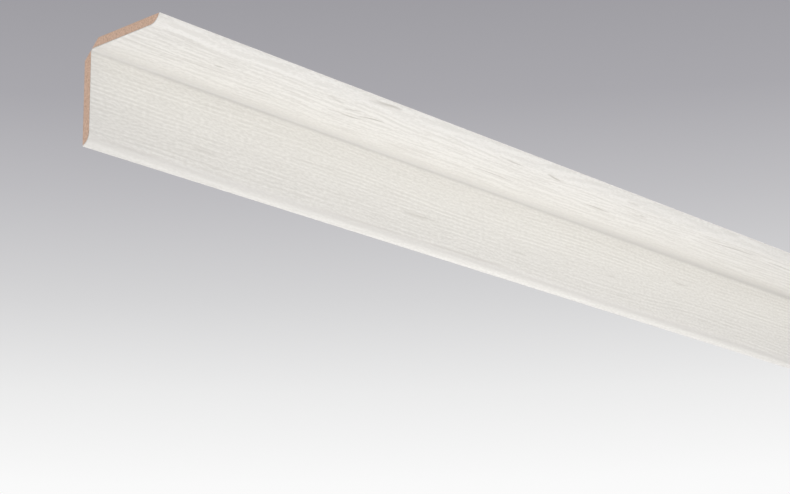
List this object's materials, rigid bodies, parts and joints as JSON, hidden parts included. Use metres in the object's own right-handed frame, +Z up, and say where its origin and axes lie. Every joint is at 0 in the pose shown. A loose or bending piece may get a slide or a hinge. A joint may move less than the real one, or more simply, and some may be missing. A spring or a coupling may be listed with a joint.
{
  "type": "folding angle moulding",
  "caption": "Long right-angle moulding with flat legs hinged at the fold by its foil skin, rounded outer edges and white embossed wood grain; it covers a wall and ceiling joint.",
  "frame": {"origin": "middle of the flat back of the wall leg, on the wall's surface", "axes": "+X along the moulding, +Y into the wall, +Z up towards the ceiling; the ceiling leg reaches out along -Y"},
  "size_m": [0.45, 0.0363, 0.0363],
  "materials": {
    "mdf": "matte",
    "decor_foil": "satin"
  },
  "bodies": {
    "wall_leg": {"wall_leg_board": "mdf", "decor_foil": "decor_foil"},
    "ceiling_leg": {"ceiling_leg_board": "mdf"}
  },
  "joints": [
    {"name": "fold", "type": "hinge", "parent": "wall_leg", "child": "ceiling_leg", "pos_m": [0, -0.00315, 0.01794], "axis": [1, 0, 0], "range_deg": [-179.5, 45], "deforming": ["decor_foil"]}
  ]
}
